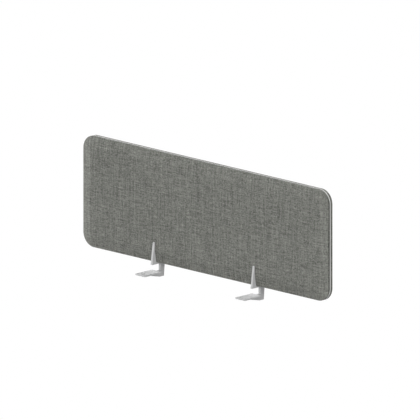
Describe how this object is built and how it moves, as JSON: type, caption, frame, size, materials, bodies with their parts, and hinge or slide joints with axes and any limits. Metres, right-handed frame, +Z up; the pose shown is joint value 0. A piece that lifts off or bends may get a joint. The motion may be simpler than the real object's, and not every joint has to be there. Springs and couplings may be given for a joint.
{
  "type": "desk screen",
  "caption": "Low upholstered desk screen with round corners and a bevelled edge, held in fork brackets that grip the back edge of a desk top.",
  "frame": {"origin": "middle of the panel's bottom edge, on the panel's middle plane", "axes": "+X along the screen to the right seen from its front, the front faces -Y, +Z up"},
  "size_m": [1.2, 0.1213, 0.4551],
  "materials": {
    "fabric": "dark-grey melange plain-weave wool-look upholstery",
    "foam": "soft polyester foam",
    "frame_wood": "planed pine and beech dowels",
    "core_felt": "pressed polyester fibre board",
    "trim_plastic": "pale-grey extruded strip",
    "bracket_paint": "pale-grey fine powder coat",
    "liner_felt": "thin pale-grey self-adhesive felt",
    "disc_plastic": "moulded soft plastic",
    "screw_steel": "zinc-plated steel"
  },
  "bodies": {
    "screen": {"bottom_rail": "frame_wood", "top_rail": "frame_wood", "left_stile": "frame_wood", "right_stile": "frame_wood", "frame_dowels": "frame_wood", "absorber_core": "core_felt", "front_foam": "foam", "back_foam": "foam", "front_cover": "fabric", "back_cover": "fabric", "edge_trim": "trim_plastic"},
    "left_bracket": {"left_bracket_arm": "bracket_paint", "left_foot_plate": "bracket_paint", "left_fork_liner": "liner_felt"},
    "left_disc": {"left_pressure_disc": "disc_plastic"},
    "left_screw": {"left_clamp_screw": "screw_steel"},
    "right_bracket": {"right_bracket_arm": "bracket_paint", "right_foot_plate": "bracket_paint", "right_fork_liner": "liner_felt"},
    "right_disc": {"right_pressure_disc": "disc_plastic"},
    "right_screw": {"right_clamp_screw": "screw_steel"}
  },
  "joints": [
    {"name": "left_bracket_slide", "type": "slide", "parent": "screen", "child": "left_bracket", "axis": [1, 0, 0], "range_m": [-0.29, 0.2]},
    {"name": "left_disc_slide", "type": "slide", "parent": "left_bracket", "child": "left_disc", "axis": [0, 1, 0], "range_m": [0, 0.0012]},
    {"name": "left_screw_turn", "type": "hinge", "parent": "left_disc", "child": "left_screw", "pos_m": [-0.2445, 0.02085, 0.056], "axis": [0, 1, 0], "range_deg": [0, 540]},
    {"name": "right_bracket_slide", "type": "slide", "parent": "screen", "child": "right_bracket", "axis": [1, 0, 0], "range_m": [-0.2, 0.29]},
    {"name": "right_disc_slide", "type": "slide", "parent": "right_bracket", "child": "right_disc", "axis": [0, 1, 0], "range_m": [0, 0.0012]},
    {"name": "right_screw_turn", "type": "hinge", "parent": "right_disc", "child": "right_screw", "pos_m": [0.2445, 0.02085, 0.056], "axis": [0, 1, 0], "range_deg": [0, 540]}
  ],
  "couplings": [
    {"joint": "left_screw_turn", "follows": "left_disc_slide", "rad_per_m": 7854},
    {"joint": "right_screw_turn", "follows": "right_disc_slide", "rad_per_m": 7854}
  ]
}
